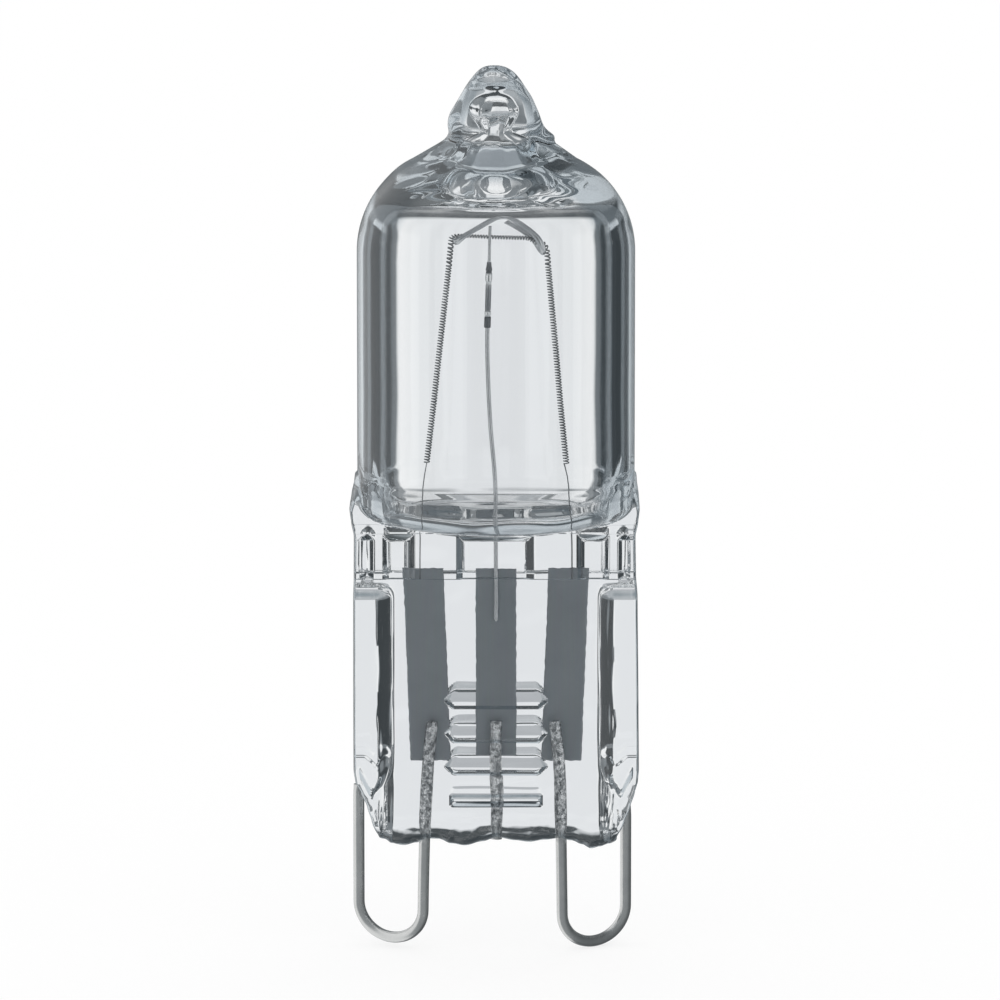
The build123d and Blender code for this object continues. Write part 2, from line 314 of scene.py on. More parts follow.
def column_place(i, z):
    """Where column i lies at a height below the dome."""
    front = len(face_columns)
    roundness = ramp(press_top + 0.8, tube_low, z)
    if i < front or front + side_columns <= i < 2 * front + side_columns:
        back = i >= front
        k = i if not back else 2 * front + side_columns - 1 - i
        x = face_columns[k]
        width = half_width(z, x)
        grip = mix(width - press_corner, side_grip, ramp(press_top + 0.5, tube_low, z))
        if abs(x) > fixed_reach:
            stretch = (grip - fixed_reach) / (half_columns[-1] - fixed_reach)
            outer = fixed_reach + (abs(x) - fixed_reach) * stretch
            x = outer if x > 0 else -outer
        if z < press_top:
            y = half_thickness(x, z, back)
        else:
            least = mix(half_rail, 0.0, ramp(tube_low - 0.3, tube_low, z))
            round_y = sqrt(max(0.0, rim_radius(z) ** 2 - x * x))
            y = (least**4 + round_y**4) ** 0.25
        return x, y if back else -y
    side = 1 if i < front + side_columns else -1
    k = i - front if side == 1 else i - 2 * front - side_columns
    t = (k + 1) / (side_columns + 1) * 2 - 1
    width = half_width(z, side)
    grip = mix(width - press_corner, side_grip, ramp(press_top + 0.5, tube_low, z))
    hold = half_thickness(grip, z, back=t * side > 0) if z < press_top else half_rail
    square_y = hold * (abs(sin(t * pi / 2)) ** 0.55) * (1 if t > 0 else -1)
    square_x = mix(grip, width, abs(cos(t * pi / 2)) ** 0.35)
    round_y = hold * t
    reach = sqrt(max(0.0, tube_radius**2 - round_y**2)) - side_grip
    round_x = grip + reach / (tube_radius - side_grip) * (width - grip)
    y = mix(square_y, round_y, roundness)
    x = mix(square_x, round_x, roundness)
    return side * x, side * y


def outer_place(i, j):
    """Place of one point of the glass's outer skin, in mm."""
    if j <= edge_steps:
        part = j / edge_steps
        x, y = column_place(i, press_levels[0])
        low = lower_edge(x)
        z = low + (press_levels[0] - low) * (1 - cos(part * pi / 2))
        x, y = column_place(i, max(z, press_low + 0.45))
        y *= sin(part * pi / 2) if part > 0 else 0
        fold = uneven(1.6 * x, 2 * y, 3 * z, 0.5, 0.05) * sin(part * pi)
        sway = uneven(x, y, z, 1.2, 0.08) * part
        return x, y + sway + fold, z + uneven(x, y, z, 0.9, 0.05) * part
    if j < edge_steps + len(press_levels):
        z = press_levels[j - edge_steps]
        x, y = column_place(i, z)
        if z > tube_low - 1e-6:
            turn = atan2(x, -y)
            shift = (uniform_turn(i) - turn + pi) % (2 * pi) - pi
            turn += shift * ramp(tube_low, tube_low + 5, z)
            x, y = tube_radius * sin(turn), -tube_radius * cos(turn)
        calm = 1 - ramp(press_top, tube_low, z)
        y += uneven(x, y, z, 1.6, 0.035) * calm
        return x, y, z
    radius, z = dome_profile[j - edge_steps - len(press_levels)]
    turn = uniform_turn(i)
    cone = ramp(tube_top + 3.2, tube_top + 4.6, z) * ramp(0.2, 0.9, radius)
    tip = ramp(tube_top + 5.2, tube_top + 6.2, z)
    flow = noise.noise(Vector((3 * sin(turn), 3 * cos(turn), 0.4 * z))) * 0.045
    lump = noise.noise(Vector((radius * sin(turn), radius * cos(turn), z)) / 1.6) * 0.09
    radius *= 1 + cone * (flow * (1 - tip) + lump * tip)
    radius -= 0.13 * tip * ramp(0.3, 1.2, radius) * max(0.0, -sin(turn)) * ramp(40.6, 42.0, z)
    ledge = ((turn - pi / 2) / 0.6) ** 2 + ((z - 40.0) / 0.45) ** 2
    radius += 0.5 / (1 + ledge) ** 2
    x, y = radius * sin(turn) - 0.08 * tip, -radius * cos(turn)
    z -= 0.45 * ramp(0.3, -1.3, y) * ramp(42.2, 43.3, z)
    return x, y, z


def uniform_turn(i):
    """Angle of column i on the round tube, from the front face towards +X."""
    middle = (len(face_columns) - 1) / 2
    return (i - middle) / columns * 2 * pi


cavity_floor = press_top + 0.5
dome_low = tube_top + 0.1
# Radii and heights of the gas space: its floor with a low step near the wall, then its dome,
# which narrows to the bubble in the tip.
cavity_profile = [
    (0, cavity_floor + 0.04), (1.5, cavity_floor - 0.04), (3.0, cavity_floor),
    (4.2, cavity_floor + 0.06), (4.5, cavity_floor + 0.08), (4.62, cavity_floor + 0.16),
    (4.8, cavity_floor + 0.2), (5.1, cavity_floor + 0.3), (5.4, cavity_floor + 0.55),
    (5.58, cavity_floor + 0.95), (cavity_radius, cavity_floor + 1.7),
]
inner_dome = [
    (cavity_radius, dome_low), (5.62, 35.0), (5.5, 35.75), (5.22, 36.32), (4.84, 36.72),
    (4.28, 37.02), (3.5, 37.27), (2.6, 37.5), (2.0, 37.77), (1.72, 38.2), (1.5, 38.8),
    (1.2, 39.4), (0.75, 39.85), (0.52, 40.15), (0.6, 40.5), (0.8, 41.0), (0.72, 41.4),
    (0.45, 41.7), (0, 41.82),
]
floor_steps = 36
wall_levels = spread((cavity_floor + 1.7, 0), (dome_low, 0.9))
inner_steps = 70
inner_columns = 128
inner_rows = [tuple(catmull(cavity_profile, s / floor_steps)) for s in range(floor_steps + 1)]
inner_rows += [(cavity_radius, z) for z in wall_levels[1:-1]]
inner_rows += [tuple(catmull(inner_dome, s / inner_steps)) for s in range(inner_steps + 1)]


def inner_place(i, j):
    """Place of one point of the gas space's wall, in mm."""
    radius, z = inner_rows[j]
    turn = 2 * pi * i / inner_columns
    x, y = radius * sin(turn), -radius * cos(turn)
    floor = 1 - ramp(cavity_floor + 0.2, cavity_floor + 1.2, z)
    mounds = 0.12 / (1 + ((abs(x) - 2.4) / 1.1) ** 2 + (y / 2.2) ** 2)
    z += floor * (mounds + uneven(x, y, 0, 2.6, 0.06))
    neck = ramp(tube_top + 3.0, tube_top + 4.0, z) * ramp(0.1, 0.8, radius)
    flow = noise.noise(Vector((3 * sin(turn), 3 * cos(turn), 0.5 * z + 7))) * 0.045
    swell = 1 + neck * flow
    return x * swell, y * swell, z


outer_skin = skin("outer", columns, rows, outer_place)
gas_space = skin("inner", inner_columns, len(inner_rows) - 1, inner_place)
bmesh.ops.reverse_faces(gas_space, faces=gas_space.faces)
glass = finish_piece("quartz_glass", [outer_skin, gas_space])
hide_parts("quartz_envelope")


def srgb(code):
    """sRGB hex colour as linear red, green, blue and alpha."""
    channels = [int(code[k : k + 2], 16) / 255 for k in (0, 2, 4)]
    return [c / 12.92 if c <= 0.04045 else ((c + 0.055) / 1.055) ** 2.4 for c in channels] + [1]


def node(tree, kind, links=None, stops=(), **settings):
    """Adds a shader node: settings are its properties, links its inputs or values, stops its ramp."""
    new = tree.nodes.new(kind)
    for key, value in settings.items():
        setattr(new, key, value)
    for key, value in (links or {}).items():
        if isinstance(value, bpy.types.NodeSocket):
            tree.links.new(value, new.inputs[key])
        else:
            new.inputs[key].default_value = value
    if stops:
        steps = new.color_ramp.elements
        for _ in stops[2:]:
            steps.new(0.5)
        for step, (share, code) in zip(steps, stops):
            step.position = share
            step.color = srgb(code)
    return new


def new_material(name):
    """Empty material with an output node."""
    material = bpy.data.materials.new(name)
    material.use_nodes = True
    material.node_tree.nodes.clear()
    output = node(material.node_tree, "ShaderNodeOutputMaterial")
    return material, material.node_tree, output


quartz, tree, output = new_material("fused_quartz_fire_polished")
# Clear as water and without grain. Its forms show by what they bend into view, and a painted
# blue-grey shade darkens it where the camera sees it at a slant, standing in for dark surroundings.
path = node(tree, "ShaderNodeLightPath")
facing = node(tree, "ShaderNodeLayerWeight", {"Blend": 0.5})
edge = node(
    tree,
    "ShaderNodeMapRange",
    {"Value": facing.outputs["Facing"], "From Min": 0.28, "From Max": 0.36},
)
first = node(
    tree,
    "ShaderNodeMath",
    {0: edge.outputs[0], 1: path.outputs["Is Camera Ray"]},
    operation="MULTIPLY",
)
# Painted shade: on the camera's first hit, surfaces seen at a slant turn blue-grey.
painted_slant_shade = node(
    tree,
    "ShaderNodeMix",
    {"Factor": first.outputs[0], 6: srgb("FFFFFF"), 7: srgb("A9B4BB")},
    data_type="RGBA",
)
glass_shader = node(
    tree,
    "ShaderNodeBsdfPrincipled",
    {
        "Base Color": painted_slant_shade.outputs[2],
        "Roughness": 0.0,
        "IOR": 1.458,
        "Transmission Weight": 1.0,
    },
)
clear = node(tree, "ShaderNodeBsdfTransparent", {"Color": srgb("EEF1F3")})
# Light that has turned many times inside the thick ends is let out, or they would go black.
most_turns = 5.5
spent = node(
    tree,
    "ShaderNodeMath",
    {0: path.outputs["Ray Depth"], 1: most_turns},
    operation="GREATER_THAN",
)
passes = node(
    tree,
    "ShaderNodeMath",
    {0: path.outputs["Is Shadow Ray"], 1: spent.outputs[0]},
    operation="MAXIMUM",
)
blend = node(
    tree,
    "ShaderNodeMixShader",
    {0: passes.outputs[0], 1: glass_shader.outputs[0], 2: clear.outputs[0]},
)
tree.links.new(blend.outputs[0], output.inputs["Surface"])
glass.data.materials.append(quartz)


# Three foils of rolled molybdenum lie in the press and carry the current through it.
# Each is 0.05 mm at its middle and etched to feather edges, so the quartz stays tight.
# They were laid on the wires and welded before the press closed round them.
foil_sides = {"foil_left": -1, "foil_centre": 0, "foil_right": 1}
foil_width = 2.0
foil_lean = 0.36
foil_half_thickness = 0.024
feather_half_thickness = 0.002

molybdenum, tree, output = new_material("molybdenum_foil_rolled_and_etched")
# Satin grey with faint cloudy patches and fine rolling lines along the strip.
place = node(tree, "ShaderNodeTexCoord")
clouds = node(
    tree,
    "ShaderNodeTexNoise",
    {"Vector": place.outputs["Object"], "Scale": 420.0, "Detail": 3.0, "Roughness": 0.6},
)
stretch = node(
    tree,
    "ShaderNodeMapping",
    {"Vector": place.outputs["Object"], "Scale": (9000, 9000, 260)},
)
lines = node(
    tree,
    "ShaderNodeTexNoise",
    {"Vector": stretch.outputs[0], "Scale": 1.0, "Detail": 2.0},
)
patch = node(
    tree,
    "ShaderNodeMix",
    {"Factor": clouds.outputs[0], 6: srgb("90969B"), 7: srgb("A6ABAF")},
    data_type="RGBA",
)
grain = node(
    tree,
    "ShaderNodeMix",
    {"Factor": 0.08, 6: patch.outputs[2], 7: lines.outputs[1]},
    data_type="RGBA",
    blend_type="SOFT_LIGHT",
)
satin = node(
    tree,
    "ShaderNodeMapRange",
    {"Value": clouds.outputs[0], "To Min": 0.42, "To Max": 0.62},
)
relief = node(
    tree,
    "ShaderNodeBump",
    {"Height": lines.outputs[0], "Strength": 0.15, "Distance": 0.00002},
)
metal = node(
    tree,
    "ShaderNodeBsdfPrincipled",
    {
        "Base Color": grain.outputs[2],
        "Metallic": 1.0,
        "Roughness": satin.outputs[0],
        "Normal": relief.outputs[0],
    },
)
tree.links.new(metal.outputs[0], output.inputs["Surface"])

for name, side in foil_sides.items():
    low, high = [[c / MM for c in corner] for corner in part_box(name)]
    centre, length = (low[0] + high[0]) / 2, high[2] - low[2]
    strip = bmesh.new()
    bmesh.ops.create_grid(strip, x_segments=24, y_segments=96, size=0.5)
    thick = bmesh.ops.extrude_face_region(strip, geom=strip.faces[:])
    top = {v for v in thick["geom"] if isinstance(v, bmesh.types.BMVert)}
    for vert in strip.verts:
        across, up = vert.co.x * 2, vert.co.y + 0.5
        face = 1 if vert in top else -1
        middle = centre - foil_lean * side * (0.5 - up)
        ragged = 0.03 * noise.noise(Vector((across * 4, up * 30, side * 9)))
        x = middle + across * (foil_width / 2 - 0.012) + ragged * abs(across) ** 6
        wave = 0.012 * noise.noise(Vector((across, up * 6, 3 + side)))
        half = mix(foil_half_thickness, feather_half_thickness, abs(across) ** 8)
        end = 0.05 * noise.noise(Vector((across * 3, 7 * side, 1))) if up in (0, 1) else 0
        vert.co = Vector((x, wave + face * half, low[2] + up * length + end)) * MM
    bmesh.ops.recalc_face_normals(strip, faces=strip.faces)
    for face in strip.faces:
        face.smooth = True
    piece = finish_piece(name + "_strip", [strip])
    piece.data.materials.append(molybdenum)
    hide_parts(name)


# The two contact wires are hard drawn nickel-iron, welded to the outer foils, led out of
# the press and turned up in loops that hook into the holder. A cut-off third wire was
# welded to the middle foil only to hold it while the press closed.
contact_radius = 0.275
weld_top = 11.35


def rounded(points, bend, step=0.05):
    """A wire's centreline in mm, its corners bent to a radius."""
    points = [Vector(point) for point in points]
    line = [points[0]]
    for before, corner, after in zip(points, points[1:], points[2:]):
        arrive, leave = (corner - before).normalized(), (after - corner).normalized()
        angle = arrive.angle(leave)
        start = corner - arrive * bend * tan(angle / 2)
        centre = corner + (leave - arrive).normalized() * bend / cos(angle / 2)
        count = max(2, ceil(angle * bend / step))
        for k in range(count + 1):
            turn = Matrix.Rotation(angle * k / count, 3, arrive.cross(leave).normalized())
            line.append(centre + turn @ (start - centre))
    return line + [points[-1]]


def evenly(points, step):
    """Points at even steps along a smooth curve through a few."""
    length = sum((Vector(b) - Vector(a)).length for a, b in zip(points, points[1:]))
    count = max(2, ceil(length / step))
    return [catmull(points, k / count) for k in range(count + 1)]


def wire(name, line, radius, ring, swell=None):
    """Round wire along a centreline in mm; swell gives its relative radius at each point."""
    curve = bpy.data.curves.new(name, "CURVE")
    curve.dimensions = "3D"
    curve.bevel_depth = radius * MM
    curve.bevel_resolution = ring
    curve.use_fill_caps = True
    spline = curve.splines.new("POLY")
    spline.points.add(len(line) - 1)
    for k, (point, spot) in enumerate(zip(spline.points, line)):
        point.co = (*((spot + Vector((0, 0, datum))) * MM), 1)
        point.radius = swell(k / (len(line) - 1), spot) if swell else 1
    drawn = bpy.data.objects.new(name + "_line", curve)
    solid = bmesh.new()
    solid.from_mesh(bpy.data.meshes.new_from_object(drawn))
    bpy.data.objects.remove(drawn)
    bmesh.ops.remove_doubles(solid, verts=solid.verts, dist=1e-8)
    bmesh.ops.recalc_face_normals(solid, faces=solid.faces)
    for face in solid.faces:
        face.smooth = len(face.verts) == 4
    return finish_piece(name, [solid])


nickel_iron, tree, output = new_material("nickel_iron_wire_drawn")
# Smooth and mirror-like, with long hair-fine marks that the drawing die left along it.
place = node(tree, "ShaderNodeTexCoord")
stretch = node(
    tree,
    "ShaderNodeMapping",
    {"Vector": place.outputs["Object"], "Scale": (12000, 12000, 500)},
)
draw_marks = node(
    tree,
    "ShaderNodeTexNoise",
    {"Vector": stretch.outputs[0], "Scale": 1.0, "Detail": 2.0},
)
tarnish = node(
    tree,
    "ShaderNodeTexNoise",
    {"Vector": place.outputs["Object"], "Scale": 900.0, "Detail": 4.0, "Roughness": 0.65},
)
tone = node(
    tree,
    "ShaderNodeMix",
    {"Factor": tarnish.outputs[0], 6: srgb("C3C5C5"), 7: srgb("E2E3E2")},
    data_type="RGBA",
)
polish = node(
    tree,
    "ShaderNodeMapRange",
    {"Value": tarnish.outputs[0], "To Min": 0.16, "To Max": 0.34},
)
relief = node(
    tree,
    "ShaderNodeBump",
    {"Height": draw_marks.outputs[0], "Strength": 0.04, "Distance": 0.00001},
)
# Inside the press the hot quartz blistered on it, in light and dark specks of about 0.15 mm.
# The free legs of the loops are behind the glass, so they have none.
behind_press = 1.2
axes = node(tree, "ShaderNodeSeparateXYZ", {0: place.outputs["Object"]})
above_edge = node(
    tree,
    "ShaderNodeMapRange",
    {
        "Value": axes.outputs[2],
        "From Min": (press_low + 0.1) * MM,
        "From Max": (press_low + 1.2) * MM,
    },
)
before_leg = node(
    tree,
    "ShaderNodeMath",
    {0: axes.outputs[1], 1: behind_press * MM},
    operation="LESS_THAN",
)
inside = node(
    tree,
    "ShaderNodeMath",
    {0: above_edge.outputs[0], 1: before_leg.outputs[0]},
    operation="MULTIPLY",
)
blisters = node(
    tree,
    "ShaderNodeTexNoise",
    {"Vector": place.outputs["Object"], "Scale": 4200.0, "Detail": 3.0, "Roughness": 0.7},
)
specks = node(
    tree,
    "ShaderNodeMapRange",
    {"Value": blisters.outputs[0], "From Min": 0.42, "From Max": 0.6},
)
speckled = node(
    tree,
    "ShaderNodeMix",
    {"Factor": specks.outputs[0], 6: srgb("888B8D"), 7: srgb("FFFFFF")},
    data_type="RGBA",
)
tone = node(
    tree,
    "ShaderNodeMix",
    {"Factor": inside.outputs[0], 6: tone.outputs[2], 7: speckled.outputs[2]},
    data_type="RGBA",
)
swollen = node(
    tree,
    "ShaderNodeMath",
    {0: specks.outputs[0], 1: inside.outputs[0]},
    operation="MULTIPLY",
)
relief = node(
    tree,
    "ShaderNodeBump",
    {
        "Height": swollen.outputs[0],
        "Strength": 0.35,
        "Distance": 0.00005,
        "Normal": relief.outputs[0],
    },
)
metal = node(
    tree,
    "ShaderNodeBsdfPrincipled",
    {
        "Base Color": tone.outputs[2],
        "Metallic": 1.0,
        "Roughness": polish.outputs[0],
        "Normal": relief.outputs[0],
    },
)
tree.links.new(metal.outputs[0], output.inputs["Surface"])

contact_y = -0.27
free_y = 2.06
loop_height = 1.6
loop_steps = 32
free_steps = 10
# Places across the lamp of each welded leg at four heights, then of the loop's two ends.
leg_heights = (weld_top, 9.3, 6.6, 3.6)
inner_leg = {-1: (-3.12, -3.31, -3.46, -3.55), 1: (2.87, 3.08, 3.17, 3.22)}
loop_ends = {-1: (-3.58, -6.77, contact_radius), 1: (3.25, 6.4, contact_radius - datum)}
free_top = {-1: 7.72, 1: 6.64}


def pinched(share, spot):
    """Wire a little thicker in the glass, flattened by the weld and snipped square at its end."""
    in_glass = spot.y < behind_press
    wetted = 0.1 * ramp(press_low + 0.2, press_low + 1.6, spot.z) * in_glass
    return 1 + wetted - 0.12 * ramp(0.02, 0.0, share) - 0.1 * ramp(0.998, 1.0, share)


for side, name in ((-1, "contact_pin_left"), (1, "contact_pin_right")):
    start_x, end_x, low = loop_ends[side]
    start = Vector((start_x, contact_y, low + loop_height))
    end = Vector((end_x, free_y, low + loop_height))
    leg = [(x, contact_y, z) for x, z in zip(inner_leg[side], leg_heights)]
    line = evenly(leg + [start], 0.25)[:-1]
    for k in range(loop_steps + 1):
        turn = pi * k / loop_steps
        level = (start + end) / 2 - (end - start) / 2 * cos(turn)
        line.append(level - Vector((0, 0, loop_height * sin(turn))))
    for k in range(free_steps):
        climb = (free_top[side] - end.z) * (k + 1) / free_steps
        line.append(end + Vector((0, 0, climb)))
    piece = wire(name + "_wire", line, contact_radius, 7, pinched)
    piece.data.materials.append(nickel_iron)
    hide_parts(name)


def torn(share, spot):
    """Uneven thickness of the cut-off wire, which was burnt back as it was welded."""
    rough = noise.noise(spot * 2.6) * 0.14
    return 1 + rough + 0.18 * sin(pi * ramp(0.35, 0.75, share))


stub_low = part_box("centre_stub")[0][2] / MM - datum
stub_route = [
    (0.02, contact_y, weld_top), (-0.02, -0.28, 9.6), (0.05, -0.26, 7.4),
    (0.0, contact_y, stub_low),
]
piece = wire("centre_stub_wire", evenly(stub_route, 0.12), contact_radius * 1.05, 6, torn)
piece.data.materials.append(nickel_iron)
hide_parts("centre_stub")


# A thin molybdenum rod rises from the middle foil and holds the filament up. A short
# tube squeezed on to it joins it to the wire of the hook.
bright_wire, tree, output = new_material("molybdenum_wire_drawn")
# A cool grey shine, a little darker where the drawing lubricant burnt off unevenly.
place = node(tree, "ShaderNodeTexCoord")
stains = node(
    tree,
    "ShaderNodeTexNoise",
    {"Vector": place.outputs["Object"], "Scale": 700.0, "Detail": 3.0},
)
tone = node(
    tree,
    "ShaderNodeMix",
    {"Factor": stains.outputs[0], 6: srgb("C0C2C4"), 7: srgb("E4E5E6")},
    data_type="RGBA",
)
metal = node(
    tree,
    "ShaderNodeBsdfPrincipled",
    {"Base Color": tone.outputs[2], "Metallic": 1.0, "Roughness": 0.24},
)
tree.links.new(metal.outputs[0], output.inputs["Surface"])

rod_route = [
    (0.0, -0.095, 16.3), (0.0, -0.095, 18.5), (-0.01, -0.095, 21.4), (-0.06, -0.1, 23.4),
    (-0.27, -0.12, 25.9), (-0.4, -0.15, 28.6), (-0.42, -0.18, 30.6), (-0.34, -0.25, 33.4),
    (-0.28, -0.35, 35.8),
]


def drawn_down(share, spot):
    """The rod is a little thinner above its joint."""
    return 1 - 0.3 * ramp(33.6, 34.0, spot.z)


rod_radius = 0.1
piece = wire("support_rod_wire", evenly(rod_route, 0.2), rod_radius, 4, drawn_down)
piece.data.materials.append(bright_wire)
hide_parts("support_rod")

sleeve_low = Vector((-0.42, -0.18, 30.7))
sleeve_high = Vector((-0.33, -0.28, 33.85))
sleeve_radius = 0.165
sleeve_steps = 120
crimps = (0.19, 0.275, 0.7, 0.875)


def squeezed(share, spot):
    """Outline of the sleeve: tapered at its top, with grooves that the crimping left."""
    grooves = sum(0.2 / (1 + ((share - crimp) / 0.012) ** 2) for crimp in crimps)
    flat = 0.12 * (ramp(0.27, 0.3, share) - ramp(0.68, 0.71, share))
    return (0.66 + 0.34 * ramp(1.0, 0.9, share)) * ramp(-0.02, 0.01, share) - grooves - flat


sleeve_line = [sleeve_low.lerp(sleeve_high, k / sleeve_steps) for k in range(sleeve_steps + 1)]
piece = wire("support_sleeve_tube", sleeve_line, sleeve_radius, 5, squeezed)
crimped_tube, tree, output = new_material("molybdenum_tube_crimped_painted_highlights")
# Darker grey at both ends, and painted highlights: two near-white bands on the crimps, glossier.
place = node(tree, "ShaderNodeTexCoord")
axes = node(tree, "ShaderNodeSeparateXYZ", {0: place.outputs["Object"]})
height = node(
    tree,
    "ShaderNodeMapRange",
    {
        "Value": axes.outputs[2],
        "From Min": (sleeve_low.z + datum) * MM,
        "From Max": (sleeve_high.z + datum) * MM,
    },
)
# Painted highlights: the two near-white bands stand for light caught by the crimped flats.
crimp_highlight_bands = [
    (0, "6E7275"), (0.17, "6A6E71"), (0.19, "F4F5F5"), (0.25, "F0F1F1"), (0.28, "8E9194"),
    (0.6, "999C9F"), (0.66, "B4B6B8"), (0.69, "F4F5F5"), (0.83, "F4F5F5"), (0.86, "6A6E71"),
    (1, "7C7F82"),
]
bands = node(tree, "ShaderNodeValToRGB", {0: height.outputs[0]}, crimp_highlight_bands)
highlight_gloss = node(
    tree,
    "ShaderNodeMapRange",
    {"Value": bands.outputs[0], "To Min": 0.42, "To Max": 0.2},
)
metal = node(
    tree,
    "ShaderNodeBsdfPrincipled",
    {"Base Color": bands.outputs[0], "Metallic": 1.0, "Roughness": highlight_gloss.outputs[0]},
)
tree.links.new(metal.outputs[0], output.inputs["Surface"])
piece.data.materials.append(crimped_tube)
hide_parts("support_sleeve")


# The hook is a thicker wire with a peak in its middle. Its two ends turn under the
# filament's upper corners and back over them, so the coil can't slip off.
hook_route = [
    (-1.98, 0.05, 34.78), (-1.92, -0.22, 34.66), (-1.68, -0.34, 34.84), (-1.18, -0.36, 35.34),
    (-0.45, -0.36, 36.04), (0.02, -0.35, 36.42), (0.4, -0.35, 36.52), (0.76, -0.35, 36.36),
    (1.5, -0.34, 35.58), (1.98, -0.33, 34.87), (2.22, -0.24, 34.42), (2.28, 0.0, 34.25),
    (2.18, 0.22, 34.32), (1.75, 0.33, 34.78), (1.42, 0.35, 35.16), (0.95, 0.35, 35.7),
    (0.48, 0.34, 36.12),
]
hook_radius = 0.165
piece = wire("hook_wire_bent", evenly(hook_route, 0.07), hook_radius, 5)
piece.data.materials.append(bright_wire)
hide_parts("hook_wire")


# The filament is tungsten wire wound into one long close coil and hung over the hook in
# a tall arch. Its two straight tails run down through the cavity's floor to the foils.
tungsten, tree, output = new_material("tungsten_wire_crystallised")
# Dark, slightly matt metal: heat has made its surface finely grained.
place = node(tree, "ShaderNodeTexCoord")
grains = node(
    tree,
    "ShaderNodeTexNoise",
    {"Vector": place.outputs["Object"], "Scale": 5000.0, "Detail": 1.0},
)
tone = node(
    tree,
    "ShaderNodeMix",
    {"Factor": grains.outputs[0], 6: srgb("74777A"), 7: srgb("9A9C9D")},
    data_type="RGBA",
)
metal = node(
    tree,
    "ShaderNodeBsdfPrincipled",
    {"Base Color": tone.outputs[2], "Metallic": 1.0, "Roughness": 0.34},
)
tree.links.new(metal.outputs[0], output.inputs["Surface"])

tail_y = -0.055
coil_route = [
    (-3.37, tail_y, 24.05), (-2.14, 0, 34.98), (1.55, 0, 34.8), (2.47, 0, 34.38),
    (3.42, tail_y, 24.0),
]
coil_bend = 0.34
coil_radius = 0.128
coil_pitch = 0.136
coil_wire = 0.031
turn_steps = 14
centreline = rounded(coil_route, coil_bend, 0.03)
lengths = [0.0]
for a, b in zip(centreline, centreline[1:]):
    lengths.append(lengths[-1] + (b - a).length)


def coil_spot(distance):
    """Point and direction on the coil's centreline at a distance along it."""
    k = 0
    while k < len(lengths) - 2 and lengths[k + 1] < distance:
        k += 1
    ahead = centreline[k + 1] - centreline[k]
    share = (distance - lengths[k]) / (lengths[k + 1] - lengths[k])
    return centreline[k] + ahead * share, ahead.normalized()


tail_left = [
    (-3.7, tail_y, 18.4), (-3.69, tail_y, 20.4), (-3.62, tail_y, 22.2), (-3.47, tail_y, 23.5),
]
tail_right = [
    (3.68, tail_y, 18.4), (3.67, tail_y, 20.4), (3.6, tail_y, 22.2), (3.47, tail_y, 23.4),
]
line = evenly(tail_left, 0.3)
turns = lengths[-1] / coil_pitch
for k in range(int(turns * turn_steps) + 1):
    angle = 2 * pi * k / turn_steps
    # A turn climbs mostly behind, so that the windings look level from the front.
    climbed = k / turn_steps + 0.6 * sin(angle) / (2 * pi)
    spot, ahead = coil_spot(max(0.0, climbed) * coil_pitch)
    back = Vector((0, 1, 0))
    across = ahead.cross(back).normalized()
    line.append(spot + (back * cos(angle) + across * sin(angle)) * coil_radius)
line += reversed(evenly(tail_right, 0.3))
piece = wire("filament_coil", line, coil_wire, 1)
piece.data.materials.append(tungsten)
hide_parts("filament")


# The lamp is photographed over a sheet of white paper, which takes its soft shadow. The
# paper is plain: the wires and the glass don't show it a second time as a reflection.
floor_size = 3
floor_mesh = bmesh.new()
bmesh.ops.create_grid(floor_mesh, x_segments=1, y_segments=1, size=floor_size)
data = bpy.data.meshes.new("studio_floor")
floor_mesh.to_mesh(data)
floor = bpy.data.objects.new("studio_floor", data)
bpy.context.scene.collection.objects.link(floor)
paper, tree, output = new_material("white_paper_floor")
# Matt white with a faint shadow on it: it glows by itself for most of its brightness.
lit = node(tree, "ShaderNodeBsdfDiffuse", {"Color": srgb("FFFFFF")})
glow = node(tree, "ShaderNodeEmission", {"Color": srgb("FFFFFF"), "Strength": 1.0})
seen = node(tree, "ShaderNodeMixShader", {0: 0.75, 1: lit.outputs[0], 2: glow.outputs[0]})
away = node(tree, "ShaderNodeBsdfTransparent")
path = node(tree, "ShaderNodeLightPath")
through = node(
    tree,
    "ShaderNodeMath",
    {0: path.outputs["Is Transmission Ray"], 1: path.outputs["Is Glossy Ray"]},
    operation="MAXIMUM",
)
blend = node(
    tree,
    "ShaderNodeMixShader",
    {0: through.outputs[0], 1: seen.outputs[0], 2: away.outputs[0]},
)
tree.links.new(blend.outputs[0], output.inputs["Surface"])
floor.data.materials.append(paper)


# Round the lamp is a white studio, and clear glass is drawn by what it bends into view and by its
# painted shade at a slant.
# So for the light that goes through it, white panels with grey gaps stand all round, and
# grey cards hang among them. What the metal mirrors is a plainer room, dark on one side.
world = bpy.data.worlds.new("studio")
bpy.context.scene.world = world
world.use_nodes = True
tree = world.node_tree
tree.nodes.clear()
output = node(tree, "ShaderNodeOutputWorld")
spot = node(tree, "ShaderNodeTexCoord")
axes = node(tree, "ShaderNodeSeparateXYZ", {0: spot.outputs["Generated"]})
turn = node(
    tree,
    "ShaderNodeMath",
    {0: axes.outputs[0], 1: axes.outputs[1]},
    operation="ARCTAN2",
)
half_panel = pi / 8
wrapped = node(
    tree,
    "ShaderNodeMath",
    {0: turn.outputs[0], 1: half_panel, 2: -half_panel},
    operation="WRAP",
)
off = node(tree, "ShaderNodeMath", {0: wrapped.outputs[0]}, operation="ABSOLUTE")
across = node(
    tree,
    "ShaderNodeMapRange",
    {"Value": off.outputs[0], "From Max": half_panel},
)
panel_shades = [
    (0, "E5E8EB"), (0.3, "E7EAEC"), (0.5, "F4F6F7"), (0.585, "F2F4F5"), (0.65, "7C8286"),
    (1, "71777B"),
]
panel = node(tree, "ShaderNodeValToRGB", {0: across.outputs[0]}, panel_shades)
rise = node(tree, "ShaderNodeMath", {0: axes.outputs[2]}, operation="ARCSINE")
